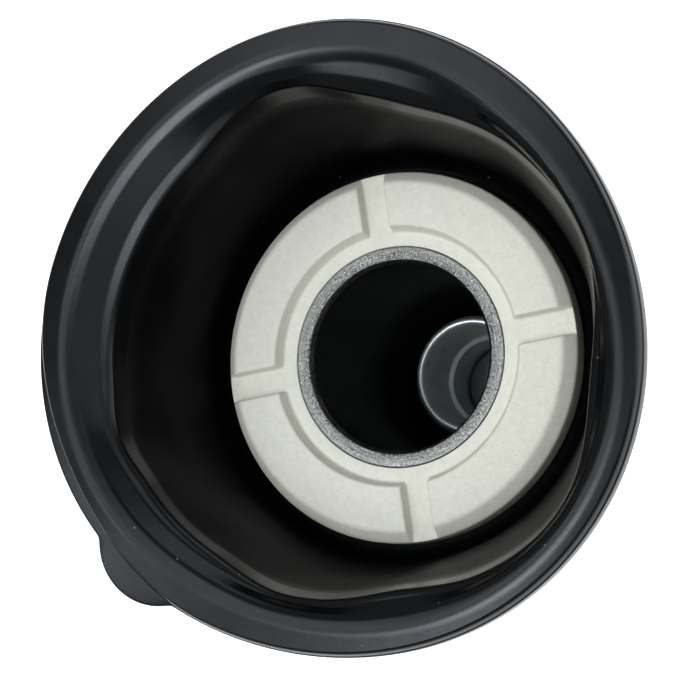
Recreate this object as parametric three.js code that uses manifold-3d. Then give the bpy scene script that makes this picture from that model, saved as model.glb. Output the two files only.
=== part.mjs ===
// Vacuum piston and diaphragm of a constant-velocity carburettor, with its jet needle set.
//
// The rubber diaphragm's outer bead is clamped between the carburettor body and its cap. Its
// membrane hangs as a deep cup to the piston, where a grooved plastic ring clamps it. The piston is
// a tube with a floor, and a bare metal sleeve stands on that floor. The sleeve holds the jet
// needle: washer, needle with its clip, spring, and a plastic holder sealed by an O-ring.
//
// Millimetres. +Z runs up the piston's axis to the open side. The origin is on that axis, in the
// plane of the bead's underside.
import * as THREE from "three";
import { mergeVertices } from "three/addons/utils/BufferGeometryUtils.js";
import Module from "manifold-3d";

const wasm = await Module();
wasm.setup();

// Driving dimensions
const BEAD_OUTER_R = 25.8;
const BEAD_INNER_R = 22.3;
const BEAD_HEIGHT = 2.2;
const MEMBRANE_T = 0.6;
const PISTON_R = 9.45;
const PISTON_WALL = 1.4;
const PISTON_LENGTH = 42;
const CUP_DEPTH = 16.4; // from the bead's top down to the piston's top edge
const RING_R = 15.9;
const SLEEVE_R = 5.6;
const SLEEVE_DEPTH = 18; // from the piston's top edge down to the sleeve's mouth
const NEEDLE_R = 1.25;
const NEEDLE_REACH = 25; // how far the needle stands out below the piston

// Clearances
const FIT = 0.05; // between concentric pieces that stay together
const REST = 0.02; // between faces that rest on each other

// Edges
const EDGE = 0.3; // ordinary chamfer
const FINE_EDGE = 0.15;
const OVERCUT = 1; // how far a cutter stands out past what it cuts

// Levels and radii that follow from them
const PISTON_TOP = BEAD_HEIGHT - CUP_DEPTH;
const PISTON_BOTTOM = PISTON_TOP - PISTON_LENGTH;
const BORE_R = PISTON_R - PISTON_WALL;
const SLEEVE_TOP = PISTON_TOP - SLEEVE_DEPTH;

// Clamp ring
const SEGMENT_H = 1.1;
const RING_BELOW_LAND = 2;
const RING_BEVEL = 1.1;
const RING_BOTTOM = PISTON_TOP - RING_BELOW_LAND;
const LAND_R = 10.7;
const SEGMENT_INNER_R = 11.15;
const GROOVES = 4;
const GROOVE_PHASE = 9.6; // degrees from +X
const GROOVE_FLOOR_W = 2;
const GROOVE_TOP_W = 2.4;
const SNAP_DEPTH = 0.25; // the ring's bore snaps into a groove round the piston
const SNAP_Z = PISTON_TOP - 1.3;
const SNAP_HALF = 0.35;

// Diaphragm
const BEAD_ROUND = 0.5;
const INNER_FLANGE_T = 0.8;
const INNER_FLANGE_TOP = RING_BOTTOM - REST;
const SHOULDER_R = 20.3; // where the shoulder has rolled over into the wall
const SHOULDER_ROLL = 1.4;
const SHOULDER_TOP = 1.5;
const FOLD_R = 17;
const FOLD_ROUND = 1;
const WALL_LEAN = 15; // degrees off the piston's axis
const RIB_INNER_R = 12;
const RIB_OUTER_R = 13.4;
const RIB_DEPTH = 0.7;
const RIB_DRAFT = 0.2;
const TAB_R = 5.5;
const TAB_REACH = 1.7;
const TAB_T = 1.2;
const TAB_ANGLE = 228; // degrees from +X

// Piston
const FLANGE_R = 14.4;
const FLANGE_T = 1.7;
const FLANGE_FILLET = 1.2;
const LIP_CHAMFER = 0.35; // inside the piston's top edge
const FLANGE_TOP = INNER_FLANGE_TOP - INNER_FLANGE_T - REST;
const FLOOR_T = 4;
const FLOOR_TOP = PISTON_BOTTOM + FLOOR_T;
const SLEEVE_SEAT_DEPTH = 1;
const NEEDLE_HOLE_R = 1.45;
const PORT_R = 1.2;
const PORT_AT = 6.7;
const CUTAWAY_DEPTH = 1.2;
const CUTAWAY_FROM = 3.2; // distance from the axis at which the inlet side is cut away

// Needle sleeve
const SLEEVE_BOTTOM = FLOOR_TOP - SLEEVE_SEAT_DEPTH + REST;
const SLEEVE_MOUTH_R = 4.75;
const SLEEVE_MOUTH_DEPTH = 6;
const SLEEVE_BORE_R = 3.9;
const SLEEVE_ROUND = 0.35; // outside the sleeve's mouth
const WEB_T = 1.5;
const WEB_TOP = SLEEVE_BOTTOM + WEB_T;

// Needle set, from the web upwards
const WASHER_T = 0.8;
const WASHER_R = 3.4;
const CLIP_T = 0.5;
const CLIP_R = 2.5;
const CLIP_BAND = 0.75; // width of the clip's ring
const CLIP_OPEN_HALF = 28; // half the clip's opening, in degrees
const CLIP_LUG_HALF = 17; // half the width of a lug, in degrees
const CLIP_STEP = 8.5; // degrees between points of the clip's inner outline
const SPRING_L = 3.6;
const SPRING_R = 2.15;
const SPRING_WIRE_R = 0.24;
const SPRING_TURNS = 3.5;
const HOLDER_L = 4.6;
const HOLDER_R = SLEEVE_BORE_R - 2 * FIT;
const PULL_HOLE_R = 1.65; // threaded hole by which the holder is pulled out
const PULL_HOLE_DEPTH = 2.8;
const VENT_R = 0.8;
const VENT_CONE = 0.4;
const CLIP_BOTTOM = WEB_TOP + REST + WASHER_T + REST;
const SPRING_BOTTOM = CLIP_BOTTOM + CLIP_T + REST;
const HOLDER_BOTTOM = SPRING_BOTTOM + SPRING_L + REST;
const SEAL_GROOVE_R = SLEEVE_BORE_R - 1;
const SEAL_Z = HOLDER_BOTTOM + 2.2;
const SEAL_HALF = 0.6;
const NEEDLE_GROOVES = 5;
const NEEDLE_GROOVE_PITCH = 0.85;
const NEEDLE_GROOVE_DEPTH = 0.35;
const NEEDLE_GROOVE_W = 0.54;
const NEEDLE_HEAD = 0.75; // from the middle of the top groove to the needle's blunt end
const NEEDLE_TIP_R = 0.3;
const TAPER = [
  { above: 0.1, radius: NEEDLE_TIP_R }, // distance above the tip, and the needle's radius there
  { above: 1.6, radius: 0.7 },
  { above: 9, radius: 0.95 },
  { above: 21, radius: NEEDLE_R },
];

// Facets round a large, a middling and a small circle
const FINE = 60;
const MEDIUM = 36;
const SMALL = 20;

const MATERIALS = {
  rubber: { color: 0x14161a, roughness: 0.32, metalness: 0 },
  ringPlastic: { color: 0xc9cabf, roughness: 0.62, metalness: 0 },
  coatedAlloy: { color: 0x1b1c1e, roughness: 0.45, metalness: 0.4 },
  bareAlloy: { color: 0x9a9b9c, roughness: 0.35, metalness: 1 },
  holderPlastic: { color: 0xd8d6c8, roughness: 0.5, metalness: 0 },
  sealRubber: { color: 0x101010, roughness: 0.5, metalness: 0 },
  steel: { color: 0xb4b5b7, roughness: 0.28, metalness: 1 },
  brass: { color: 0xb08d4a, roughness: 0.3, metalness: 1 },
};

// ---- geometry helpers ----

function toSolid(geometry) {
  const plain = geometry.index ? geometry.toNonIndexed() : geometry.clone();
  plain.deleteAttribute("normal");
  plain.deleteAttribute("uv");
  const merged = mergeVertices(plain, 1e-4);
  return new wasm.Manifold(
    new wasm.Mesh({
      numProp: 3,
      vertProperties: merged.attributes.position.array,
      triVerts: new Uint32Array(merged.index.array),
    }),
  );
}

function toGeometry(solid) {
  const mesh = solid.getMesh();
  const geometry = new THREE.BufferGeometry();
  geometry.setAttribute("position", new THREE.BufferAttribute(mesh.vertProperties, 3));
  geometry.setIndex(new THREE.BufferAttribute(mesh.triVerts, 1));
  geometry.computeVertexNormals();
  return geometry;
}

// A closed loop of [radius, z] points, anticlockwise with radius to the right, turned about Z.
function revolve(loop, segments) {
  const points = [...loop, loop[0]].map(([r, z]) => new THREE.Vector2(r, z));
  return new THREE.LatheGeometry(points, segments).rotateX(Math.PI / 2);
}

// Points of [radius, z] along an arc, angles in degrees.
function arc(r, z, radius, from, to, steps = 5) {
  return Array.from({ length: steps + 1 }, (_, i) => {
    const a = THREE.MathUtils.degToRad(from + ((to - from) * i) / steps);
    return [r + radius * Math.cos(a), z + radius * Math.sin(a)];
  });
}

function cylinder(radius, bottom, top, segments, x = 0, y = 0) {
  return new THREE.CylinderGeometry(radius, radius, top - bottom, segments)
    .rotateX(Math.PI / 2)
    .translate(x, y, (top + bottom) / 2);
}

// The other face of a sheet of even thickness whose top face runs along `line`.
function underside(line, thickness) {
  return line.map(([r, z], i) => {
    const [r0, z0] = line[Math.max(i - 1, 0)];
    const [r1, z1] = line[Math.min(i + 1, line.length - 1)];
    const length = Math.hypot(r1 - r0, z1 - z0);
    return [r + (thickness * (z1 - z0)) / length, z - (thickness * (r1 - r0)) / length];
  });
}

function mesh(name, geometry, material) {
  const made = new THREE.Mesh(geometry, new THREE.MeshStandardMaterial(MATERIALS[material]));
  made.name = name;
  return made;
}

// ---- diaphragm ----

function beadLoop() {
  const lowR = BEAD_OUTER_R - BEAD_ROUND;
  const highZ = BEAD_HEIGHT - BEAD_ROUND;
  const innerR = BEAD_INNER_R + BEAD_ROUND;
  return [
    ...arc(innerR, BEAD_ROUND, BEAD_ROUND, 180, 270, 2),
    ...arc(lowR, BEAD_ROUND, BEAD_ROUND, 270, 360, 2),
    ...arc(lowR, highZ, BEAD_ROUND, 0, 90, 2),
    ...arc(innerR, highZ, BEAD_ROUND, 90, 180, 2),
  ];
}

function diaphragmBead() {
  const bead = toSolid(revolve(beadLoop(), FINE));
  const lobe = cylinder(TAB_R, 0, TAB_T, MEDIUM, BEAD_OUTER_R + TAB_REACH - TAB_R);
  lobe.rotateZ(THREE.MathUtils.degToRad(TAB_ANGLE));
  const insideBead = cylinder(BEAD_OUTER_R - 2 * BEAD_ROUND, -OVERCUT, TAB_T + OVERCUT, FINE);
  const tab = toSolid(lobe).subtract(toSolid(insideBead));
  return mesh("diaphragm_bead", toGeometry(bead.add(tab)), "rubber");
}

// Top face of the membrane, from the piston out to the bead.
function membraneLine() {
  const foldR = FOLD_R - FOLD_ROUND;
  const foldZ = INNER_FLANGE_TOP + FOLD_ROUND;
  const rollR = SHOULDER_R + SHOULDER_ROLL;
  const rollZ = SHOULDER_TOP - SHOULDER_ROLL;
  return [
    [PISTON_R + FIT, INNER_FLANGE_TOP],
    ...arc(foldR, foldZ, FOLD_ROUND, 270, 360 - WALL_LEAN, 3),
    ...arc(rollR, rollZ, SHOULDER_ROLL, 180 - WALL_LEAN, 90, 4),
    [BEAD_INNER_R - FIT, SHOULDER_TOP],
  ];
}

function diaphragmMembrane() {
  const top = membraneLine();
  const afterFlange = underside(top, MEMBRANE_T).slice(2);
  const flangeBottom = INNER_FLANGE_TOP - INNER_FLANGE_T;
  const ribBottom = flangeBottom - RIB_DEPTH;
  const rib = [
    [PISTON_R + FIT, flangeBottom],
    [RIB_INNER_R, flangeBottom],
    [RIB_INNER_R + RIB_DRAFT, ribBottom],
    [RIB_OUTER_R - RIB_DRAFT, ribBottom],
    [RIB_OUTER_R, flangeBottom],
    [FLANGE_R, flangeBottom],
  ];
  const loop = [...rib, ...afterFlange, ...top.toReversed()];
  return mesh("diaphragm_membrane", revolve(loop, FINE), "rubber");
}

// ---- clamp ring ----

function grooveCutter(angle) {
  const floorHalf = GROOVE_FLOOR_W / 2;
  const topHalf = GROOVE_TOP_W / 2;
  const shape = new THREE.Shape([
    new THREE.Vector2(-floorHalf, 0),
    new THREE.Vector2(floorHalf, 0),
    new THREE.Vector2(topHalf, SEGMENT_H),
    new THREE.Vector2(topHalf, SEGMENT_H + OVERCUT),
    new THREE.Vector2(-topHalf, SEGMENT_H + OVERCUT),
    new THREE.Vector2(-topHalf, SEGMENT_H),
  ]);
  const length = RING_R + OVERCUT - PISTON_R;
  return new THREE.ExtrudeGeometry(shape, { depth: length, bevelEnabled: false })
    .rotateX(Math.PI / 2)
    .rotateZ(Math.PI / 2)
    .translate(PISTON_R, 0, PISTON_TOP)
    .rotateZ(THREE.MathUtils.degToRad(angle));
}

function clampRing() {
  const boreR = PISTON_R + FIT;
  const snapR = boreR - SNAP_DEPTH;
  const top = PISTON_TOP + SEGMENT_H;
  const loop = [
    [boreR, RING_BOTTOM],
    [RING_R - EDGE, RING_BOTTOM],
    [RING_R, RING_BOTTOM + EDGE],
    [RING_R, top - RING_BEVEL],
    [RING_R - RING_BEVEL, top],
    [SEGMENT_INNER_R, top],
    [LAND_R, PISTON_TOP],
    [boreR + FINE_EDGE, PISTON_TOP],
    [boreR, PISTON_TOP - FINE_EDGE],
    [boreR, SNAP_Z + SNAP_HALF],
    [snapR, SNAP_Z + SNAP_HALF / 2],
    [snapR, SNAP_Z - SNAP_HALF / 2],
    [boreR, SNAP_Z - SNAP_HALF],
  ];
  let ring = toSolid(revolve(loop, FINE));
  for (let i = 0; i < GROOVES; i++) {
    ring = ring.subtract(toSolid(grooveCutter(GROOVE_PHASE + (360 / GROOVES) * i)));
  }
  return mesh("clamp_ring", toGeometry(ring), "ringPlastic");
}

// ---- piston ----

function pistonLoop() {
  const snapR = PISTON_R - SNAP_DEPTH;
  const snapHalf = SNAP_HALF + FIT;
  const flangeBottom = FLANGE_TOP - FLANGE_T;
  const ribFloor = FLANGE_TOP - RIB_DEPTH - FIT;
  const seatFloor = FLOOR_TOP - SLEEVE_SEAT_DEPTH;
  return [
    [NEEDLE_HOLE_R, PISTON_BOTTOM],
    [PISTON_R - EDGE, PISTON_BOTTOM],
    [PISTON_R, PISTON_BOTTOM + EDGE],
    ...arc(PISTON_R + FLANGE_FILLET, flangeBottom - FLANGE_FILLET, FLANGE_FILLET, 180, 90, 3),
    [FLANGE_R - EDGE, flangeBottom],
    [FLANGE_R, flangeBottom + EDGE],
    [FLANGE_R, FLANGE_TOP - FINE_EDGE],
    [FLANGE_R - FINE_EDGE, FLANGE_TOP],
    [RIB_OUTER_R + FIT, FLANGE_TOP],
    [RIB_OUTER_R + FIT, ribFloor],
    [RIB_INNER_R - FIT, ribFloor],
    [RIB_INNER_R - FIT, FLANGE_TOP],
    [PISTON_R, FLANGE_TOP],
    [PISTON_R, SNAP_Z - snapHalf],
    [snapR, SNAP_Z - snapHalf / 2],
    [snapR, SNAP_Z + snapHalf / 2],
    [PISTON_R, SNAP_Z + snapHalf],
    [PISTON_R, PISTON_TOP - FINE_EDGE],
    [PISTON_R - FINE_EDGE, PISTON_TOP],
    [BORE_R + LIP_CHAMFER, PISTON_TOP],
    [BORE_R, PISTON_TOP - LIP_CHAMFER],
    [BORE_R, FLOOR_TOP],
    [SLEEVE_R + FIT, FLOOR_TOP],
    [SLEEVE_R + FIT, seatFloor],
    [NEEDLE_HOLE_R, seatFloor],
  ];
}

function vacuumPiston() {
  const port = cylinder(PORT_R, PISTON_BOTTOM - OVERCUT, FLOOR_TOP + OVERCUT, SMALL, PORT_AT);
  const cutaway = new THREE.BoxGeometry(PISTON_R, 3 * PISTON_R, 2 * CUTAWAY_DEPTH);
  cutaway.translate(-CUTAWAY_FROM - PISTON_R / 2, 0, PISTON_BOTTOM);
  const tube = toSolid(revolve(pistonLoop(), FINE));
  const body = tube.subtract(toSolid(port)).subtract(toSolid(cutaway));
  return mesh("vacuum_piston", toGeometry(body), "coatedAlloy");
}

// ---- needle sleeve and what it holds ----

function needleSleeve() {
  const mouthFloor = SLEEVE_TOP - SLEEVE_MOUTH_DEPTH;
  const loop = [
    [NEEDLE_HOLE_R, SLEEVE_BOTTOM],
    [SLEEVE_R - FINE_EDGE, SLEEVE_BOTTOM],
    [SLEEVE_R, SLEEVE_BOTTOM + FINE_EDGE],
    ...arc(SLEEVE_R - SLEEVE_ROUND, SLEEVE_TOP - SLEEVE_ROUND, SLEEVE_ROUND, 0, 90, 3),
    [SLEEVE_MOUTH_R + FINE_EDGE, SLEEVE_TOP],
    [SLEEVE_MOUTH_R, SLEEVE_TOP - FINE_EDGE],
    [SLEEVE_MOUTH_R, mouthFloor],
    [SLEEVE_BORE_R + EDGE, mouthFloor],
    [SLEEVE_BORE_R, mouthFloor - EDGE],
    [SLEEVE_BORE_R, WEB_TOP],
    [NEEDLE_HOLE_R, WEB_TOP],
  ];
  return mesh("needle_sleeve", revolve(loop, MEDIUM), "bareAlloy");
}

function needleWasher() {
  const bottom = WEB_TOP + REST;
  const top = bottom + WASHER_T;
  const loop = [
    [NEEDLE_HOLE_R, bottom],
    [WASHER_R - FINE_EDGE, bottom],
    [WASHER_R, bottom + FINE_EDGE],
    [WASHER_R, top - FINE_EDGE],
    [WASHER_R - FINE_EDGE, top],
    [NEEDLE_HOLE_R, top],
  ];
  return mesh("needle_washer", revolve(loop, SMALL), "holderPlastic");
}

// An E-shaped clip: a flat ring, open on one side, with three lugs that reach into the needle's groove.
function needleClip() {
  const { degToRad } = THREE.MathUtils;
  const gripR = NEEDLE_R - NEEDLE_GROOVE_DEPTH + FIT;
  const bandR = CLIP_R - CLIP_BAND;
  const outline = new THREE.Shape();
  outline.absarc(0, 0, CLIP_R, degToRad(CLIP_OPEN_HALF), degToRad(360 - CLIP_OPEN_HALF), false);
  const inwards = (turn, r) => outline.lineTo(r * Math.cos(degToRad(turn)), r * Math.sin(degToRad(turn)));
  inwards(360 - CLIP_OPEN_HALF, gripR);
  for (let turn = 360 - CLIP_OPEN_HALF - CLIP_STEP; turn > CLIP_OPEN_HALF; turn -= CLIP_STEP) {
    const onLug = [90, 180, 270].some((lug) => Math.abs(turn - lug) < CLIP_LUG_HALF);
    inwards(turn, onLug ? gripR : bandR);
  }
  inwards(CLIP_OPEN_HALF, gripR);
  outline.closePath();
  const settings = { depth: CLIP_T, bevelEnabled: false, curveSegments: MEDIUM };
  const geometry = new THREE.ExtrudeGeometry(outline, settings).translate(0, 0, CLIP_BOTTOM);
  return mesh("needle_clip", geometry, "steel");
}

function jetNeedle() {
  const tip = PISTON_BOTTOM - NEEDLE_REACH;
  const middleGroove = CLIP_BOTTOM + CLIP_T / 2;
  const firstGroove = middleGroove - ((NEEDLE_GROOVES - 1) * NEEDLE_GROOVE_PITCH) / 2;
  const lastGroove = 2 * middleGroove - firstGroove;
  const headTop = lastGroove + NEEDLE_HEAD;
  const grooveR = NEEDLE_R - NEEDLE_GROOVE_DEPTH;
  const grooves = [];
  for (let i = 0; i < NEEDLE_GROOVES; i++) {
    const low = firstGroove + i * NEEDLE_GROOVE_PITCH - NEEDLE_GROOVE_W / 2;
    const high = low + NEEDLE_GROOVE_W;
    grooves.push([NEEDLE_R, low], [grooveR, low], [grooveR, high], [NEEDLE_R, high]);
  }
  const loop = [
    [0, tip],
    ...TAPER.map(({ above, radius }) => [radius, tip + above]),
    ...grooves,
    [NEEDLE_R, headTop - EDGE],
    [NEEDLE_R - EDGE, headTop],
    [0, headTop],
  ];
  const points = loop.map(([r, z]) => new THREE.Vector2(r, z));
  const geometry = new THREE.LatheGeometry(points, SMALL).rotateX(Math.PI / 2);
  return mesh("jet_needle", geometry, "brass");
}

// A helix whose pitch closes up at both ends, so that the coils there lie nearly flat.
class SpringCurve extends THREE.Curve {
  getPoint(t, target = new THREE.Vector3()) {
    const closing = 0.75;
    const a = 2 * Math.PI * SPRING_TURNS * t;
    const free = SPRING_L - 2 * SPRING_WIRE_R;
    const rise = t - (closing * Math.sin(2 * Math.PI * t)) / (2 * Math.PI);
    const z = SPRING_BOTTOM + SPRING_WIRE_R + free * rise;
    return target.set(SPRING_R * Math.cos(a), SPRING_R * Math.sin(a), z);
  }
}

function needleSpring() {
  const section = new THREE.Shape();
  section.absarc(0, 0, SPRING_WIRE_R, 0, 2 * Math.PI, false);
  const geometry = new THREE.ExtrudeGeometry(section, {
    steps: 80,
    curveSegments: 4,
    extrudePath: new SpringCurve(),
    bevelEnabled: false,
  });
  return mesh("needle_spring", geometry, "steel");
}

function needleHolder() {
  const top = HOLDER_BOTTOM + HOLDER_L;
  const grooveLow = SEAL_Z - SEAL_HALF - FIT;
  const grooveHigh = SEAL_Z + SEAL_HALF + FIT;
  const loop = [
    [VENT_R, HOLDER_BOTTOM],
    [HOLDER_R - EDGE, HOLDER_BOTTOM],
    [HOLDER_R, HOLDER_BOTTOM + EDGE],
    [HOLDER_R, grooveLow],
    [SEAL_GROOVE_R, grooveLow],
    [SEAL_GROOVE_R, grooveHigh],
    [HOLDER_R, grooveHigh],
    [HOLDER_R, top - EDGE],
    [HOLDER_R - EDGE, top],
    [PULL_HOLE_R + FINE_EDGE, top],
    [PULL_HOLE_R, top - FINE_EDGE],
    [PULL_HOLE_R, top - PULL_HOLE_DEPTH],
    [VENT_R, top - PULL_HOLE_DEPTH - VENT_CONE],
  ];
  return mesh("needle_holder", revolve(loop, MEDIUM), "holderPlastic");
}

function holderSeal() {
  const inner = SEAL_GROOVE_R + REST;
  const outer = SLEEVE_BORE_R - REST;
  const middle = (inner + outer) / 2;
  const halfWidth = (outer - inner) / 2;
  const unitRound = arc(0, 0, 1, 0, 315, 7);
  const loop = unitRound.map(([c, s]) => [middle + c * halfWidth, SEAL_Z + s * SEAL_HALF]);
  return mesh("holder_o_ring", revolve(loop, MEDIUM), "sealRubber");
}

const part = new THREE.Group();
part.add(
  diaphragmBead(),
  diaphragmMembrane(),
  clampRing(),
  vacuumPiston(),
  needleSleeve(),
  needleWasher(),
  needleClip(),
  jetNeedle(),
  needleSpring(),
  needleHolder(),
  holderSeal(),
);

export default part;
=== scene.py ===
"""Looks of the vacuum piston and diaphragm: fine meshes and procedural materials round the CAD frame."""

import math

import bpy
from mathutils import Matrix, Vector, noise

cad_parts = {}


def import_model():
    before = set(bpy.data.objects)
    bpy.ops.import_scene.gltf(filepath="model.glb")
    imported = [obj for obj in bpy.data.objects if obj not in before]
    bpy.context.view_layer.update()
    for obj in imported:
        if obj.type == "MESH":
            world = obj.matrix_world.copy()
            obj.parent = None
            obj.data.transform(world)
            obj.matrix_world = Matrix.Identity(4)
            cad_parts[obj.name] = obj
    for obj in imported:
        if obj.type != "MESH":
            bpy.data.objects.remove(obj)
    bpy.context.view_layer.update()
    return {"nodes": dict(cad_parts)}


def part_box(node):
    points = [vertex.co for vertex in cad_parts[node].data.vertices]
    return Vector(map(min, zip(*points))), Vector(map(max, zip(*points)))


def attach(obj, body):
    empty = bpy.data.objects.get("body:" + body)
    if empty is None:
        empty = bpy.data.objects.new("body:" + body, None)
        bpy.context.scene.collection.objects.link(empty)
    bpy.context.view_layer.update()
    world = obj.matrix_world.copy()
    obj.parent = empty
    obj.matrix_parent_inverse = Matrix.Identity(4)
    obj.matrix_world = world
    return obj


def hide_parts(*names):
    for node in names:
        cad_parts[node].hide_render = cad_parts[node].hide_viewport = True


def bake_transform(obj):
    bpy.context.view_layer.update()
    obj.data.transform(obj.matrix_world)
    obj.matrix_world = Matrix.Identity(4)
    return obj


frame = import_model()

MM = 0.001
TURN = 2 * math.pi


# ---- sizes in millimetres, most of them read from the CAD frame ----

def extent(node):
    """Outer radius, bottom and top of a node that is round about Z."""
    low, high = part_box(node)
    return high.x / MM, low.z / MM, high.z / MM


BEAD_R, _, BEAD_TOP = extent("diaphragm_bead")
RING_R, RING_BOTTOM, SEGMENT_TOP = extent("clamp_ring")
FLANGE_R, PISTON_BOTTOM, PISTON_TOP = extent("vacuum_piston")
SLEEVE_R, SLEEVE_BOTTOM, SLEEVE_TOP = extent("needle_sleeve")
WASHER_R, WASHER_BOTTOM, WASHER_TOP = extent("needle_washer")
_, CLIP_BOTTOM, CLIP_TOP = extent("needle_clip")
NEEDLE_R, NEEDLE_TIP, NEEDLE_TOP = extent("jet_needle")
SPRING_R, SPRING_BOTTOM, SPRING_TOP = extent("needle_spring")
HOLDER_R, HOLDER_BOTTOM, HOLDER_TOP = extent("needle_holder")
SEAL_R, SEAL_BOTTOM, SEAL_TOP = extent("holder_o_ring")

PISTON_R = 9.45
PISTON_WALL = 1.4
BORE_R = PISTON_R - PISTON_WALL
NEEDLE_HOLE_R = 1.45
FIT = 0.05  # gap round a piece that sits in another
CONTACT = 0.02  # gap between faces that rest on each other
LIP = Vector((0, 0, PISTON_TOP))  # the middle of the piston's mouth


# ---- outlines, as lines of (r, z) ----

def rounded(corners, closed=True, steps=6):
    """Points along a polygon of (r, z, radius), each corner rounded to its radius."""
    points = []
    last = len(corners) - 1
    for i, (r, z, radius) in enumerate(corners):
        here = Vector((r, z))
        if radius == 0 or (not closed and i in (0, last)):
            points.append((r, z))
            continue
        back = (Vector(corners[i - 1][:2]) - here).normalized()
        on = (Vector(corners[(i + 1) % len(corners)][:2]) - here).normalized()
        half = back.angle(on) / 2
        centre = here + (back + on).normalized() * (radius / math.sin(half))
        first = here + back * (radius / math.tan(half)) - centre
        second = here + on * (radius / math.tan(half)) - centre
        sweep = math.pi - 2 * half
        for k in range(steps + 1):
            t = k / steps
            a = math.sin((1 - t) * sweep) / math.sin(sweep)
            b = math.sin(t * sweep) / math.sin(sweep)
            points.append(tuple(centre + first * a + second * b))
    return points


def even(points, count):
    """The same open line as `count` stretches of equal length."""
    line = [Vector(p) for p in points]
    lengths = [(b - a).length for a, b in zip(line, line[1:])]
    total = sum(lengths)
    out = []
    i = 0
    passed = 0
    for k in range(count + 1):
        target = total * k / count
        while i < len(lengths) - 1 and passed + lengths[i] < target:
            passed += lengths[i]
            i += 1
        t = (target - passed) / lengths[i] if lengths[i] else 0
        out.append(tuple(line[i].lerp(line[i + 1], min(t, 1))))
    return out


def underside(line, thickness):
    """The line's other face, `thickness` to the right of its direction."""
    out = []
    for i, (r, z) in enumerate(line):
        ahead = Vector(line[min(i + 1, len(line) - 1)]) - Vector(line[max(i - 1, 0)])
        across = Vector((ahead.y, -ahead.x)).normalized() * thickness
        out.append((r + across.x, z + across.y))
    return out


# ---- meshes ----

def finish_mesh(name, points, faces, sharp_over=50):
    """A smooth-shaded object from points in millimetres, with edges sharper than the angle kept crisp."""
    mesh = bpy.data.meshes.new(name)
    mesh.from_pydata([Vector(p) * MM for p in points], [], faces)
    mesh.validate()
    mesh.polygons.foreach_set("use_smooth", [True] * len(mesh.polygons))
    mesh.set_sharp_from_angle(angle=math.radians(sharp_over))
    made = bpy.data.objects.new(name, mesh)
    bpy.context.scene.collection.objects.link(made)
    return made


def around(angle, r, z):
    return (r * math.cos(angle), r * math.sin(angle), z)


def ring_faces(columns, rows):
    """Faces of a body made of `columns` closed outlines of `rows` points each, one after another."""
    faces = []
    for c in range(columns):
        here = c * rows
        on = (c + 1) % columns * rows
        for k in range(rows):
            up = (k + 1) % rows
            faces.append((here + k, on + k, on + up, here + up))
    return faces


def loft(name, outline_at, columns=256, sharp_over=50):
    """A ring-shaped body. outline_at(angle) gives its closed outline, anticlockwise with r to the right."""
    points = []
    for c in range(columns):
        angle = TURN * c / columns
        outline = outline_at(angle)
        points += [around(angle, r, z) for r, z in outline]
    return finish_mesh(name, points, ring_faces(columns, len(outline)), sharp_over)


def lathe(name, corners, columns=192, steps=5):
    """A round body from rounded corners (r, z, radius). An outline that meets the axis is closed there."""
    outline = rounded(corners, steps=steps)
    on_axis = 1e-6
    if min(r for r, _ in outline) > on_axis:
        return loft(name, lambda angle: outline, columns)
    line = [p for p in outline if p[0] > on_axis]
    points = [(0, 0, corners[0][1])]
    for c in range(columns):
        points += [around(TURN * c / columns, r, z) for r, z in line]
    points.append((0, 0, corners[-1][1]))
    rows = len(line)
    top = len(points) - 1
    faces = []
    for c in range(columns):
        here = 1 + c * rows
        on = 1 + (c + 1) % columns * rows
        faces.append((0, on, here))
        faces += [(here + k, on + k, on + k + 1, here + k + 1) for k in range(rows - 1)]
        faces.append((here + rows - 1, on + rows - 1, top))
    return finish_mesh(name, points, faces)


def rod(name, radius, low, high, x, columns=96):
    """A plain closed cylinder beside the axis, for cutting."""
    points = []
    for z in (low, high):
        for c in range(columns):
            along, aside, _ = around(TURN * c / columns, radius, 0)
            points.append((x + along, aside, z))
    faces = [tuple(reversed(range(columns))), tuple(range(columns, 2 * columns))]
    for c in range(columns):
        on = (c + 1) % columns
        faces.append((c, on, columns + on, columns + c))
    return finish_mesh(name, points, faces)


def block(name, low, high):
    """A box between two corners, for cutting."""
    points = [(x, y, z) for z in (low[2], high[2]) for y in (low[1], high[1]) for x in (low[0], high[0])]
    faces = [(0, 2, 3, 1), (4, 5, 7, 6), (0, 1, 5, 4), (2, 6, 7, 3), (0, 4, 6, 2), (1, 3, 7, 5)]
    return finish_mesh(name, points, faces)


def cut(made, cutter):
    """Takes the cutter's shape out of a piece, and removes the cutter."""
    change = made.modifiers.new("cut", "BOOLEAN")
    change.object = cutter
    change.solver = "EXACT"
    bpy.context.view_layer.objects.active = made
    bpy.ops.object.modifier_apply(modifier=change.name)
    bpy.data.objects.remove(cutter)


def stand_for(made, body, nodes):
    """Ties a piece to its body and hides the CAD nodes that it stands for."""
    if body is not None:
        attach(made, body)
    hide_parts(*nodes)


# ---- materials ----

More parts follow.
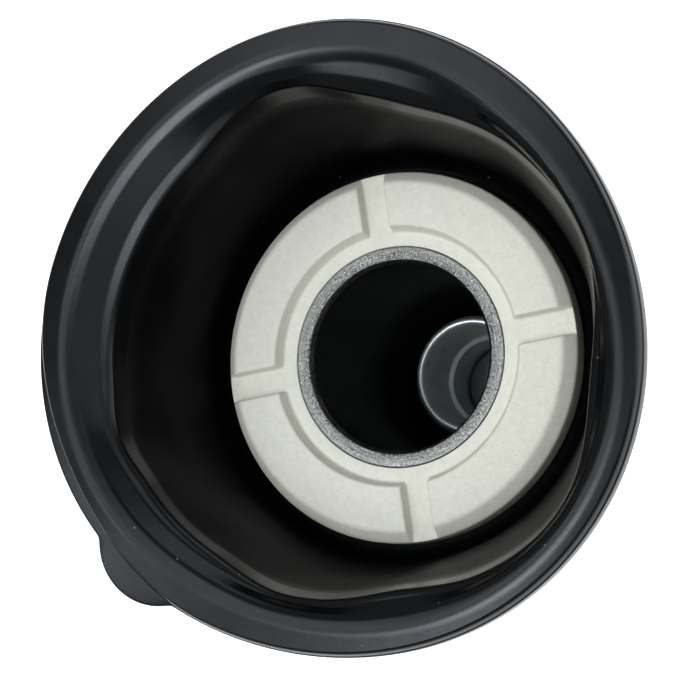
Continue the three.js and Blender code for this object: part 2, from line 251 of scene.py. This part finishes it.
class Nodes:
    """A node material under construction. Its coordinates are millimetres in the object's own frame."""

    def __init__(self, name):
        self.material = bpy.data.materials.new(name)
        self.material.use_nodes = True
        self.tree = self.material.node_tree
        self.shader = self.tree.nodes["Principled BSDF"]
        coordinates = self.add("ShaderNodeTexCoord")
        self.mm = self.vector("SCALE", coordinates.outputs["Object"], Scale=1 / MM)

    def add(self, kind, **settings):
        made = self.tree.nodes.new(kind)
        for key, value in settings.items():
            setattr(made, key, value)
        return made

    def feed(self, node, inputs):
        """Links or sets each of the node's inputs."""
        for key, value in inputs.items():
            socket = node.inputs[key]
            if isinstance(value, bpy.types.NodeSocket):
                self.tree.links.new(value, socket)
            else:
                socket.default_value = value

    def vector(self, operation, *values, **named):
        node = self.add("ShaderNodeVectorMath", operation=operation)
        self.feed(node, {**dict(enumerate(values)), **named})
        return node.outputs[0]

    def math(self, operation, *values):
        node = self.add("ShaderNodeMath", operation=operation)
        self.feed(node, dict(enumerate(values)))
        return node.outputs[0]

    def noise(self, scale, detail=3.0, rough=0.5, at=None, stretch=None):
        at = self.mm if at is None else at
        if stretch:
            at = self.vector("MULTIPLY", at, stretch)
        node = self.add("ShaderNodeTexNoise")
        self.feed(node, {"Vector": at, "Scale": scale, "Detail": detail, "Roughness": rough})
        return node.outputs["Fac"]

    def ramp(self, value, low, high, to_low=0.0, to_high=1.0):
        node = self.add("ShaderNodeMapRange", clamp=True)
        inputs = {"Value": value, "From Min": low, "From Max": high, "To Min": to_low, "To Max": to_high}
        self.feed(node, inputs)
        return node.outputs["Result"]

    def blend(self, share, first, second):
        """Mixes two colours by share."""
        node = self.add("ShaderNodeMix", data_type="RGBA")
        for key, colour in ((6, first), (7, second)):
            self.feed(node, {key: rgba(colour)})
        self.feed(node, {0: share})
        return node.outputs[2]

    def bump(self, height, distance, strength, normal=None):
        """Relief of `height` times `distance` millimetres, on top of `normal`."""
        node = self.add("ShaderNodeBump")
        self.feed(node, {"Height": height, "Distance": distance * MM, "Strength": strength})
        if normal is not None:
            self.feed(node, {"Normal": normal})
        return node.outputs["Normal"]

    def cylindrical(self):
        """Radius and height in millimetres, with the angle between them in turns."""
        split = self.add("ShaderNodeSeparateXYZ")
        self.feed(split, {0: self.mm})
        x, y, z = split.outputs
        radius = self.math("SQRT", self.math("ADD", self.math("MULTIPLY", x, x), self.math("MULTIPLY", y, y)))
        angle = self.math("DIVIDE", self.math("ARCTAN2", y, x), TURN)
        return radius, angle, z

    def grid(self, x, x_scale, y, y_scale):
        """A flat noise place from two values, each with its own scale."""
        node = self.add("ShaderNodeCombineXYZ")
        self.feed(node, {0: self.math("MULTIPLY", x, x_scale), 1: self.math("MULTIPLY", y, y_scale)})
        return node.outputs[0]

    def surface(self, colour, rough, normal=None, metal=0.0, specular=0.5):
        inputs = {
            "Base Color": rgba(colour),
            "Roughness": rough,
            "Metallic": metal,
            "Specular IOR Level": specular,
        }
        if normal is not None:
            inputs["Normal"] = normal
        self.feed(self.shader, inputs)
        return self.material


def rgba(colour):
    return colour if isinstance(colour, bpy.types.NodeSocket) else (*colour, 1)


def rubber():
    """Nearly black moulded rubber with haze, flow marks and dust: satin on the rim, matt down in the cup."""
    n = Nodes("moulded_rubber")
    satin = n.add("ShaderNodeAttribute", attribute_name="satin").outputs["Fac"]
    haze = n.ramp(n.noise(0.5, 5, 0.6), 0.45, 0.75)
    black = n.blend(haze, (0.0009, 0.0011, 0.0013), (0.0022, 0.0026, 0.0034))
    specks = n.add("ShaderNodeTexVoronoi", feature="F1")
    n.feed(specks, {"Vector": n.mm, "Scale": 0.8})
    chosen = n.add("ShaderNodeSeparateColor")
    n.feed(chosen, {0: specks.outputs["Color"]})
    near = n.ramp(specks.outputs["Distance"], 0.03, 0.055, 1, 0)
    dust = n.math("MULTIPLY", near, n.ramp(chosen.outputs[0], 0.8, 0.82))
    colour = n.blend(dust, black, (0.2, 0.2, 0.19))
    uneven = n.ramp(n.noise(0.22, 4), 0.3, 0.7, 0, 0.05)
    rough = n.math("ADD", uneven, n.ramp(satin, 0, 1, 0.38, 0.21))
    radius, angle, _ = n.cylindrical()
    streaks = n.noise(1, 3, 0.6, at=n.grid(angle, 260, radius, 0.25))
    normal = n.bump(n.noise(9, 3), 0.012, 0.5)
    normal = n.bump(streaks, 0.03, 0.2, normal)
    return n.surface(colour, rough, normal, specular=n.ramp(satin, 0, 1, 0.045, 0.34))


def ring_plastic():
    """Pale grey glass-filled plastic: mottled, with short light fibres and a fine eroded skin."""
    n = Nodes("filled_plastic")
    mottle = n.ramp(n.noise(1.8, 7, 0.7), 0.3, 0.7)
    colour = n.blend(mottle, (0.61, 0.6, 0.525), (0.695, 0.68, 0.6))
    fibre = n.noise(2.4, 4, 0.7, stretch=(1, 3.2, 1))
    colour = n.blend(n.ramp(fibre, 0.58, 0.75, 0, 0.6), colour, (0.8, 0.8, 0.73))
    pits = n.noise(6.5, 4, 0.6)
    colour = n.blend(n.ramp(pits, 0.28, 0.42, 0.35, 0), colour, (0.36, 0.36, 0.29))
    normal = n.bump(pits, 0.05, 0.7)
    normal = n.bump(n.noise(1.6, 3), 0.06, 0.5, normal)
    rough = n.ramp(n.noise(3, 3), 0.3, 0.7, 0.5, 0.68)
    return n.surface(colour, rough, normal, specular=0.4)


def bare_lip():
    """The piston's machined edge: burnished grey alloy, pitted, scratched round and brighter outwards."""
    n = Nodes("burnished_lip")
    radius, angle, _ = n.cylindrical()
    lines = n.noise(1, 3, 0.6, at=n.grid(radius, 16, angle, 14))
    pits = n.noise(4.5, 6, 0.8)
    worn = n.ramp(radius, BORE_R + 0.35, PISTON_R - 0.1, -0.04, 0.05)
    bright = n.math("ADD", n.math("MULTIPLY", pits, 0.75), n.math("MULTIPLY", lines, 0.35))
    bright = n.ramp(n.math("ADD", bright, worn), 0.43, 0.66)
    colour = n.blend(bright, (0.04, 0.04, 0.038), (0.44, 0.43, 0.4))
    rough = n.ramp(pits, 0.35, 0.62, 0.5, 0.2)
    normal = n.bump(lines, 0.02, 0.7)
    normal = n.bump(pits, 0.05, 1, normal)
    return n.surface(colour, rough, normal, metal=1)


def coated_alloy():
    """Hard-coated dark alloy with fine turning lines and rubbed patches along its length."""
    n = Nodes("hard_coated_alloy")
    _, angle, z = n.cylindrical()
    lines = n.noise(1, 3, 0.6, at=n.grid(z, 11, angle, 5))
    rub = n.ramp(n.noise(0.5, 6, 0.7, stretch=(1, 1, 0.2)), 0.42, 0.8)
    colour = n.blend(rub, (0.017, 0.019, 0.018), (0.032, 0.035, 0.034))
    rough = n.ramp(lines, 0.3, 0.7, 0.36, 0.52)
    return n.surface(colour, rough, n.bump(lines, 0.02, 0.7), metal=0.75)


def turned_alloy():
    """Bare turned metal with fine rings left by the tool."""
    n = Nodes("turned_alloy")
    radius, angle, z = n.cylindrical()
    lines = n.noise(1, 4, 0.65, at=n.grid(n.math("ADD", z, radius), 7, angle, 3))
    stain = n.ramp(n.noise(0.6, 4), 0.4, 0.75)
    colour = n.blend(stain, (0.74, 0.77, 0.77), (0.56, 0.6, 0.6))
    rough = n.ramp(lines, 0.3, 0.7, 0.32, 0.46)
    return n.surface(colour, rough, n.bump(lines, 0.015, 0.6), metal=0.85)


def natural_plastic():
    """Off-white moulded plastic, slightly yellowed, with faint flow marks."""
    n = Nodes("natural_plastic")
    flow = n.ramp(n.noise(0.9, 4), 0.35, 0.7)
    colour = n.blend(flow, (0.66, 0.64, 0.53), (0.78, 0.77, 0.69))
    rough = n.ramp(n.noise(2.5, 3), 0.3, 0.7, 0.38, 0.55)
    return n.surface(colour, rough, n.bump(n.noise(7, 3), 0.02, 0.6))


def dark_plastic():
    """Black moulded plastic with a dry, slightly grey skin."""
    n = Nodes("dark_plastic")
    skin = n.ramp(n.noise(1.2, 4), 0.4, 0.72)
    colour = n.blend(skin, (0.012, 0.012, 0.013), (0.03, 0.03, 0.032))
    rough = n.ramp(n.noise(3, 3), 0.3, 0.7, 0.35, 0.5)
    return n.surface(colour, rough, n.bump(n.noise(8, 3), 0.02, 0.6))


def seal_rubber():
    """Black O-ring rubber with a faint mould bloom."""
    n = Nodes("seal_rubber")
    bloom = n.ramp(n.noise(1.4, 4), 0.45, 0.75)
    colour = n.blend(bloom, (0.006, 0.006, 0.006), (0.02, 0.02, 0.022))
    rough = n.ramp(n.noise(4, 3), 0.3, 0.7, 0.35, 0.5)
    return n.surface(colour, rough, n.bump(n.noise(9, 3), 0.01, 0.6))


def spring_steel():
    """Bright drawn wire and stamped clip steel, with faint draw marks."""
    n = Nodes("spring_steel")
    marks = n.noise(5, 4, 0.7)
    colour = n.blend(n.ramp(marks, 0.35, 0.7), (0.3, 0.3, 0.31), (0.56, 0.56, 0.57))
    rough = n.ramp(marks, 0.3, 0.7, 0.22, 0.38)
    return n.surface(colour, rough, n.bump(marks, 0.015, 0.7), metal=1)


def needle_brass():
    """Ground needle brass: fine grinding rings and a slightly dulled, browned patch or two."""
    n = Nodes("ground_brass")
    _, angle, z = n.cylindrical()
    lines = n.noise(1, 3, 0.6, at=n.grid(z, 9, angle, 3))
    tarnish = n.ramp(n.noise(0.4, 5, 0.6), 0.48, 0.75)
    colour = n.blend(tarnish, (0.34, 0.23, 0.09), (0.3, 0.2, 0.08))
    rough = n.ramp(lines, 0.3, 0.7, 0.14, 0.3)
    return n.surface(colour, rough, n.bump(lines, 0.012, 0.7), metal=1)


# ---- how the moulded rubber has warped, as angles in degrees from +X ----

BEAD_INNER_R = 22.3
SHOULDER_R = 20.7
SHOULDER_DROP = 1.5

# Where the shoulder's edge has buckled: middle, how far outwards, and reach to either side.
BUCKLES = [
    (22, 0.7, 34),
    (72, -1.0, 28),
    (108, 1.2, 24),
    (202, 0.5, 14),
    (257, 0.45, 18),
    (286, -0.7, 18),
    (322, 0.7, 28),
    (352, -0.7, 28),
]


def smooth(t):
    """Softens a share that runs from 0 to 1."""
    t = min(1, max(0, t))
    return t * t * (3 - 2 * t)


def hump(turn, middle, reach):
    """1 at `middle`, falling softly to 0 at `reach` degrees to either side."""
    off = (turn - middle + 180) % 360 - 180
    return smooth(1 - abs(off) / reach)


def wave(turn, count, crest):
    """A cosine with `count` crests in the full turn, one of them at `crest`."""
    return math.cos(math.radians(count * (turn - crest)))


def out_of_round(turn):
    """Radial shift of the rim: slightly oval, with three soft lobes."""
    return 0.45 * wave(turn, 2, 332) + 0.34 * wave(turn, 3, 83)


def shoulder_r(turn):
    """Radius of the shoulder's edge, where it turns down into the wall: off centre, and buckled."""
    buckled = sum(out * hump(turn, middle, reach) for middle, out, reach in BUCKLES)
    return SHOULDER_R + 1.5 * wave(turn, 1, 340) + buckled


def shoulder_drop(turn):
    """How far the shoulder's edge lies below the bead's top."""
    return SHOULDER_DROP + 0.4 * hump(turn, 115, 34) - 0.25 * hump(turn, 322, 70)


def bead_inner_r(turn):
    """Where the bead's top begins: it has twisted outwards on the side where the shoulder is widest."""
    return BEAD_INNER_R + 1.2 * hump(turn, 326, 95)


def wall_sag(turn, height):
    """Inward shift of the wall's middle, where it has drawn in between the buckled corners."""
    flats = 0.4 * hump(turn, 163, 45) + 0.3 * hump(turn, 230, 30)
    folds = 0.16 * wave(turn + 6 * height, 5, 20) + 0.06 * wave(turn - 9 * height, 11, 0)
    return flats + folds


def ripple(turn, z):
    """Small uneven waves, drawn out along the height of the wall."""
    x, y, up = around(math.radians(turn), 3.2, 0.22 * z)
    return 0.12 * noise.noise(Vector((x, y, up)))


# ---- the diaphragm: bead, tab, shoulder, wall and inner flange in one moulding ----

TAB_AT = 228
TAB_R = 5.5
TAB_REACH = 1.75
TAB_ROOT = 0.1  # softness of the corners between tab and bead
BEAD_DROOP = 0.22  # the bead's top falls by this much towards its outer edge
EDGE_T = 1.25  # height of the tab, and of the bead's outer edge below its drafted side
FLANGE_FACE = RING_BOTTOM - CONTACT  # top of the rubber's inner flange, clamped under the ring
MEMBRANE_T = 0.6
FOLD_R = 17
WALL_POINTS = 60
RIM_POINTS = 110
RUBBER_COLUMNS = 540


def tab_reach(turn):
    """How far the tab, with its softened roots, stands out past the bead."""
    off = math.radians((turn - TAB_AT + 180) % 360 - 180)
    centre = BEAD_R + TAB_REACH - TAB_R
    across = centre * math.sin(off)
    lobe = -1.5
    if abs(off) < 0.5 and abs(across) < TAB_R:
        lobe = max(lobe, centre * math.cos(off) + math.sqrt(TAB_R**2 - across**2) - BEAD_R)
    return TAB_ROOT * math.log(math.exp(lobe / TAB_ROOT) + 1)


def visible_line(turn):
    """The face that shows from above, from the inner flange out to the bead's top edge."""
    edge_r = shoulder_r(turn)
    edge_z = BEAD_TOP - shoulder_drop(turn)
    inner_r = bead_inner_r(turn)
    drawn_in = 0.9 * hump(turn, 206, 40)
    terrace = hump(turn, 84, 48)  # here the shoulder is flatter and steps up late to the bead
    step = 0.25 + 0.25 * terrace
    wall = rounded(
        [
            (PISTON_R + 0.1, FLANGE_FACE, 0),
            (FOLD_R, FLANGE_FACE, 0.9),
            (edge_r, edge_z, 0),
        ],
        closed=False,
    )
    rise = BEAD_TOP - step - edge_z
    across = inner_r - edge_r
    wall_end = Vector(wall[-1]).lerp(Vector(wall[-2]), 0.14)
    rim = rounded(
        [
            (*wall_end, 0),
            (edge_r, edge_z, 0.8 - 0.4 * hump(turn, 155, 60)),
            (edge_r + (0.35 + 0.12 * terrace) * across, edge_z + (0.16 + 0.64 * terrace) * rise, 0.9),
            (inner_r - 0.15, BEAD_TOP - step, 1.2),
            (inner_r + 0.9, BEAD_TOP, 2.6),
            (BEAD_R - 0.5 - drawn_in, BEAD_TOP - BEAD_DROOP, 0),
        ],
        closed=False,
    )
    line = even([*wall[:-1], wall_end], WALL_POINTS) + even(rim, RIM_POINTS)[1:]
    out = []
    for r, z in line:
        height = (z - FLANGE_FACE) / (edge_z - FLANGE_FACE)
        middle = smooth(height / 0.35) * smooth((1.05 - height) / 0.5)
        shift = out_of_round(turn) * smooth(height)
        out.append((r + shift - wall_sag(turn, height) * middle + ripple(turn, z) * middle, z))
    return out


def moulding_outline(angle):
    """Closed outline at one angle: underside of the sheet, outside of the bead, then the visible face."""
    turn = math.degrees(angle)
    top = visible_line(turn)
    edge_r, edge_z = top[-1]
    side = BEAD_R + out_of_round(turn) + tab_reach(turn)
    foot = bead_inner_r(turn) + out_of_round(turn) + 0.3
    outside = rounded(
        [
            (edge_r - 0.3, edge_z + 0.03, 0),
            (edge_r + 0.2, edge_z - 0.05, 0.5),
            (edge_r + 0.38, EDGE_T, 0.12),
            (side, EDGE_T - 0.05, 0.25),
            (side, 0, 0.25),
            (foot, 0, 0.3),
            (foot, 1, 0),
        ],
        closed=False,
    )
    under = underside(top[: WALL_POINTS + 1], MEMBRANE_T)[::2]
    return [*under, *reversed(outside[1:-1]), *reversed(top)]


def mark_satin(mesh):
    """Writes how satin each point is: 1 on the rim, fading to 0 just past the shoulder's edge."""
    rows = len(mesh.vertices) // RUBBER_COLUMNS
    fade_rows = 11
    satin = mesh.attributes.new("satin", "FLOAT", "POINT")
    for vertex in mesh.vertices:
        column, row = divmod(vertex.index, rows)
        fade_from = rows - WALL_POINTS - 7 - 11 * hump(360 * column / RUBBER_COLUMNS, 226, 36)
        satin.data[vertex.index].value = smooth(1 - (row - fade_from) / fade_rows)


def diaphragm():
    made = loft("rubber_diaphragm", moulding_outline, RUBBER_COLUMNS, 60)
    made.data.materials.append(rubber())
    mark_satin(made.data)
    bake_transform(made)
    stand_for(made, None, ["diaphragm_bead", "diaphragm_membrane"])


# ---- the clamp ring, with its land and four grooves a step below its raised segments ----

GROOVE_AT = math.radians(9.6)
GROOVES = 4
LAND = PISTON_TOP
LAND_R = 10.7
SEGMENT_INNER_R = 11.15
RING_BEVEL = 1.1
SEGMENT_COLUMNS = 56

# Across half a groove: distance from its middle, and the share of the drop to its floor.
GROOVE_SIDE = [(1.34, 0), (1.26, 0.03), (1.19, 0.14), (1.08, 0.86), (1.02, 0.97), (0.92, 1), (0.5, 1)]


def ring_columns():
    """Each column round the ring: its groove's angle, distance across, share dropped, share of the way on."""
    edge = GROOVE_SIDE[0][0]
    near_side = [(-across, drop) for across, drop in GROOVE_SIDE]
    section = [*near_side, (0, 1), *reversed(GROOVE_SIDE)]
    columns = []
    for g in range(GROOVES):
        middle = GROOVE_AT + TURN * g / GROOVES
        columns += [(middle, across, drop, 0) for across, drop in section]
        columns += [(middle, edge, 0, k / SEGMENT_COLUMNS) for k in range(1, SEGMENT_COLUMNS)]
    return columns


def clamp_ring():
    inner_r = PISTON_R + FIT
    outline = rounded(
        [
            (inner_r, RING_BOTTOM, 0.1),
            (RING_R, RING_BOTTOM, 0.25),
            (RING_R, SEGMENT_TOP - RING_BEVEL, 0.6),
            (RING_R - 0.9 * RING_BEVEL, SEGMENT_TOP, 0.7),
            (SEGMENT_INNER_R, SEGMENT_TOP, 0.3),
            (LAND_R, LAND, 0.28),
            (inner_r, LAND, 0.1),
        ]
    )
    columns = ring_columns()
    points = []
    for middle, across, drop, along in columns:
        for r, z in outline:
            near = math.asin(across / r)
            angle = middle + near + along * (TURN / GROOVES - 2 * near)
            points.append(around(angle, r, z - drop * max(0, z - LAND)))
    made = finish_mesh("grooved_clamp_ring", points, ring_faces(len(columns), len(outline)), 75)
    made.data.materials.append(ring_plastic())
    stand_for(made, "piston", ["clamp_ring"])


# ---- the piston and the sleeve that stands on its floor ----

FLOOR_TOP = PISTON_BOTTOM + 4
SEAT_DEPTH = 1
PORT_R = 1.2
PORT_X = 6.7
CUTAWAY_DEPTH = 1.2
CUTAWAY_FROM = 3.2
LIP_DEPTH = 0.55  # how far down the bare metal of the lip goes


def piston():
    flange_top = RING_BOTTOM - 0.84
    flange_bottom = flange_top - 1.7
    seat_r = SLEEVE_R + FIT
    corners = [
        (NEEDLE_HOLE_R, PISTON_BOTTOM, 0.15),
        (PISTON_R, PISTON_BOTTOM, 0.4),
        (PISTON_R, flange_bottom, 1.1),
        (FLANGE_R, flange_bottom, 0.3),
        (FLANGE_R, flange_top, 0.2),
        (PISTON_R, flange_top, 0.05),
        (PISTON_R, PISTON_TOP, 0.12),
        (BORE_R + 0.3, PISTON_TOP, 0.12),
        (BORE_R, PISTON_TOP - 0.45, 0.15),
        (BORE_R, FLOOR_TOP, 0.5),
        (seat_r, FLOOR_TOP, 0.1),
        (seat_r, FLOOR_TOP - SEAT_DEPTH, 0.1),
        (NEEDLE_HOLE_R, FLOOR_TOP - SEAT_DEPTH, 0.1),
    ]
    made = lathe("coated_piston", corners, 256)
    below = PISTON_BOTTOM - 1
    cut(made, rod("port_cutter", PORT_R, below, FLOOR_TOP + 1, PORT_X))
    far = 2 * PISTON_R
    cut(made, block("foot_cutter", (-far, -far, below), (-CUTAWAY_FROM, far, PISTON_BOTTOM + CUTAWAY_DEPTH)))
    made.data.set_sharp_from_angle(angle=math.radians(50))
    made.data.materials.append(coated_alloy())
    made.data.materials.append(bare_lip())
    for face in made.data.polygons:
        face.material_index = int(face.center.z / MM > PISTON_TOP - LIP_DEPTH)
    stand_for(made, "piston", ["vacuum_piston"])


def sleeve():
    bore_r = SEAL_R + CONTACT
    mouth_r = SLEEVE_R - 0.85
    mouth_floor = SLEEVE_TOP - 6
    web_top = WASHER_BOTTOM - CONTACT
    corners = [
        (NEEDLE_HOLE_R, SLEEVE_BOTTOM, 0.1),
        (SLEEVE_R, SLEEVE_BOTTOM, 0.15),
        (SLEEVE_R, SLEEVE_TOP - 0.75, 0.5),
        (SLEEVE_R - 0.35, SLEEVE_TOP, 0.3),
        (mouth_r, SLEEVE_TOP, 0.3),
        (bore_r + 0.4, mouth_floor + 0.3, 0.3),
        (bore_r, mouth_floor, 0.3),
        (bore_r, web_top, 0.2),
        (NEEDLE_HOLE_R, web_top, 0.1),
    ]
    made = lathe("turned_sleeve", corners)
    made.data.materials.append(turned_alloy())
    stand_for(made, "piston", ["needle_sleeve"])


# ---- the needle set inside the sleeve ----

GROOVE_PITCH = 0.85
GROOVE_HALF_HEIGHT = 0.27
NEEDLE_GROOVES = 5
NEEDLE_GROOVE_R = NEEDLE_R - 0.35

# Heights above the needle's tip, and the radius there.
NEEDLE_TAPER = [(0, 0.12), (0.35, 0.42), (1.6, 0.7), (9, 0.95), (21, NEEDLE_R)]


def needle():
    clip_z = (CLIP_BOTTOM + CLIP_TOP) / 2
    corners = [(0, NEEDLE_TIP, 0)]
    corners += [(radius, NEEDLE_TIP + above, 0.05) for above, radius in NEEDLE_TAPER]
    for i in range(NEEDLE_GROOVES):
        z = clip_z + (i - NEEDLE_GROOVES // 2) * GROOVE_PITCH
        low = z - GROOVE_HALF_HEIGHT
        high = z + GROOVE_HALF_HEIGHT
        for r, height in ((NEEDLE_R, low), (NEEDLE_GROOVE_R, low), (NEEDLE_GROOVE_R, high), (NEEDLE_R, high)):
            corners.append((r, height, 0.04))
    corners += [(NEEDLE_R, NEEDLE_TOP, 0.25), (0, NEEDLE_TOP, 0)]
    made = lathe("tapered_needle", corners, 96, 3)
    made.data.materials.append(needle_brass())
    stand_for(made, "needle", ["jet_needle"])


def washer():
    corners = [
        (NEEDLE_HOLE_R, WASHER_BOTTOM, 0.1),
        (WASHER_R, WASHER_BOTTOM, 0.15),
        (WASHER_R, WASHER_TOP, 0.15),
        (NEEDLE_HOLE_R, WASHER_TOP, 0.1),
    ]
    made = lathe("plastic_washer", corners)
    made.data.materials.append(natural_plastic())
    stand_for(made, "piston", ["needle_washer"])


def holder():
    """A plug with a groove for the O-ring, a pull hole from above and a vent right through."""
    vent_r = 0.8
    pull_r = 1.65
    pull_floor = HOLDER_TOP - 2.8
    groove_r = SEAL_R - 0.98
    groove_low = SEAL_BOTTOM - FIT
    groove_high = SEAL_TOP + FIT
    corners = [
        (vent_r, HOLDER_BOTTOM, 0.1),
        (HOLDER_R, HOLDER_BOTTOM, 0.3),
        (HOLDER_R, groove_low, 0.08),
        (groove_r, groove_low, 0.08),
        (groove_r, groove_high, 0.08),
        (HOLDER_R, groove_high, 0.08),
        (HOLDER_R, HOLDER_TOP, 0.35),
        (pull_r, HOLDER_TOP, 0.2),
        (pull_r, pull_floor, 0.1),
        (vent_r, pull_floor - 0.4, 0.1),
    ]
    made = lathe("plastic_holder", corners)
    made.data.materials.append(dark_plastic())
    stand_for(made, "piston", ["needle_holder"])


def o_ring():
    half_thick = 0.48
    steps = 24
    middle_r = SEAL_R - half_thick
    middle_z = (SEAL_BOTTOM + SEAL_TOP) / 2
    half_height = (SEAL_TOP - SEAL_BOTTOM) / 2
    outline = []
    for k in range(steps):
        a = TURN * k / steps
        outline.append((middle_r + half_thick * math.cos(a), middle_z + half_height * math.sin(a)))
    made = loft("seal_ring", lambda angle: outline, 160)
    made.data.materials.append(seal_rubber())
    stand_for(made, "piston", ["holder_o_ring"])


def spring():
    """A short coil between the clip and the holder, its end turns closed up."""
    wire_r = 0.24
    coil_r = SPRING_R - wire_r
    turns = 3.5
    closing = 0.75  # how strongly the end turns close up
    steps = 220
    sides = 12
    free = SPRING_TOP - SPRING_BOTTOM - 2 * wire_r
    points = []
    for k in range(steps + 1):
        t = k / steps
        z = SPRING_BOTTOM + wire_r + free * (t - closing * math.sin(TURN * t) / TURN)
        for j in range(sides):
            b = TURN * j / sides
            points.append(around(TURN * turns * t, coil_r + wire_r * math.cos(b), z + wire_r * math.sin(b)))
    faces = [tuple(range(sides)), tuple(reversed(range(steps * sides, (steps + 1) * sides)))]
    for k in range(steps):
        for j in range(sides):
            on = (j + 1) % sides
            here = k * sides
            faces.append((here + sides + j, here + sides + on, here + on, here + j))
    made = finish_mesh("needle_coil_spring", points, faces)
    made.data.materials.append(spring_steel())
    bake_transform(made)
    stand_for(made, None, ["needle_spring"])


def clip():
    """The clip keeps its CAD shape, and only gets its material."""
    slots = frame["nodes"]["needle_clip"].data.materials
    slots.clear()
    slots.append(spring_steel())


# ---- camera, floor and lights ----

LOOK_DOWN = 22.3  # degrees between the piston's axis and the line of sight
LOOK_FROM = 345  # degrees from +X: the side that the camera stands on
ROLL = 14.7
STAND_OFF = 213
LENS = 128.6
ASIDE = 4.17  # the camera looks past the lip's middle by this much sideways
BELOW = 0.55

FLOOR_GAP = 12
FLOOR_GLOW = 0.6  # the floor is a light table
WALL_LIGHT = 0.25

# Patches of the light tent: towards, tilt, full out to, gone at (all in degrees), and the light added.
PATCHES = [
    (0, 0, 30, 43, 0.52),
    (214, 15, 5, 11, 11.5),
    (250, 21, 4, 12, 2.0),
    (132, 29, 6, 15, 1.7),
    (187, 38, 2, 6, 6.0),
    (168, 40, 6, 14, -0.3),
    (164, 29, 3, 8, 2.2),
    (12, 50, 5, 14, 2.0),
    (135, 11, 9, 16, -0.65),
    (69, 37, 6, 14, -0.35),
    (12, 84, 10, 20, 2.2),
    (82, 74, 8, 18, 0.9),
    (69, 60, 5, 12, 0.5),
    (301, 42, 6, 14, 1.0),
]


def direction(towards, tilt):
    """Unit vector `tilt` degrees off the vertical, towards `towards` degrees from +X."""
    t = math.radians(tilt)
    return Vector(around(math.radians(towards), math.sin(t), math.cos(t)))


def camera():
    tilt = math.radians(LOOK_DOWN)
    roll = math.radians(ROLL)
    towards = direction(LOOK_FROM, 90)
    up = Vector((0, 0, 1))
    across = math.cos(tilt) * towards - math.sin(tilt) * up
    sight = -math.sin(tilt) * towards - math.cos(tilt) * up
    down = sight.cross(across)
    right = math.cos(roll) * across - math.sin(roll) * down
    below = math.sin(roll) * across + math.cos(roll) * down
    eye = LIP - sight * STAND_OFF
    aim = LIP - right * ASIDE - below * BELOW
    back = (eye - aim).normalized()
    x_axis = (-below).cross(back).normalized()
    y_axis = back.cross(x_axis)
    placed = Matrix((x_axis, y_axis, back)).transposed().to_4x4()
    placed.translation = eye * MM
    made = bpy.data.objects.new("camera", bpy.data.cameras.new("camera"))
    bpy.context.scene.collection.objects.link(made)
    made.matrix_world = placed
    made.data.lens = LENS
    made.data.sensor_width = 36
    made.data.clip_start = 0.005
    made.data.clip_end = 10
    bpy.context.scene.camera = made


def floor():
    bpy.ops.mesh.primitive_plane_add(size=6, location=(0, 0, (NEEDLE_TIP - FLOOR_GAP) * MM))
    made = bpy.context.object
    made.name = "floor"
    n = Nodes("pale_floor")
    tone = n.blend(n.ramp(n.noise(0.01, 2), 0.3, 0.7), (0.9, 0.9, 0.9), (0.94, 0.94, 0.94))
    n.feed(n.shader, {"Emission Color": (1, 1, 1, 1), "Emission Strength": FLOOR_GLOW})
    made.data.materials.append(n.surface(tone, 0.9))


def patch_light(tree, facing, towards, tilt, core, edge, change):
    """The light that one patch adds, by how far the ray's direction is from the patch's middle."""
    dot = tree.nodes.new("ShaderNodeVectorMath")
    dot.operation = "DOT_PRODUCT"
    dot.inputs[1].default_value = direction(towards, tilt)
    tree.links.new(facing, dot.inputs[0])
    fade = tree.nodes.new("ShaderNodeMapRange")
    fade.interpolation_type = "SMOOTHSTEP"
    fade.inputs["From Min"].default_value = math.cos(math.radians(edge))
    fade.inputs["From Max"].default_value = math.cos(math.radians(core))
    fade.inputs["To Max"].default_value = change
    tree.links.new(dot.outputs["Value"], fade.inputs["Value"])
    return fade.outputs["Result"]


def world():
    """A light tent: a bright roof with soft lamps and dim gaps, and dim walls."""
    made = bpy.data.worlds.new("light_tent")
    made.use_nodes = True
    tree = made.node_tree
    background = tree.nodes["Background"]
    background.inputs["Color"].default_value = (0.91, 0.97, 1.05, 1)
    facing = tree.nodes.new("ShaderNodeTexCoord").outputs["Generated"]
    light = None
    for patch in PATCHES:
        total = tree.nodes.new("ShaderNodeMath")
        tree.links.new(patch_light(tree, facing, *patch), total.inputs[0])
        if light is None:
            total.inputs[1].default_value = WALL_LIGHT
        else:
            tree.links.new(light, total.inputs[1])
        light = total.outputs[0]
    tree.links.new(light, background.inputs["Strength"])
    bpy.context.scene.world = made


def softbox(name, towards, tilt, distance, size, power, colour):
    """A square lamp that faces the lip. Glossy surfaces don't mirror it: they mirror the tent."""
    light = bpy.data.lights.new(name, "AREA")
    light.shape = "SQUARE"
    light.size = size * MM
    light.energy = power
    light.color = colour
    made = bpy.data.objects.new(name, light)
    bpy.context.scene.collection.objects.link(made)
    away = direction(towards, tilt)
    made.location = (LIP + away * distance) * MM
    made.rotation_mode = "QUATERNION"
    made.rotation_quaternion = away.to_track_quat("Z", "Y")
    made.visible_glossy = False


for build in (diaphragm, clamp_ring, piston, sleeve, needle, washer, holder, o_ring, spring, clip):
    build()

camera()
floor()
world()
softbox("key", 168, 45, 300, 150, 0.15, (1, 1, 0.94))
softbox("overhead", 290, 20, 400, 260, 0.58, (1, 1, 0.92))
bpy.context.scene.view_settings.view_transform = "Standard"
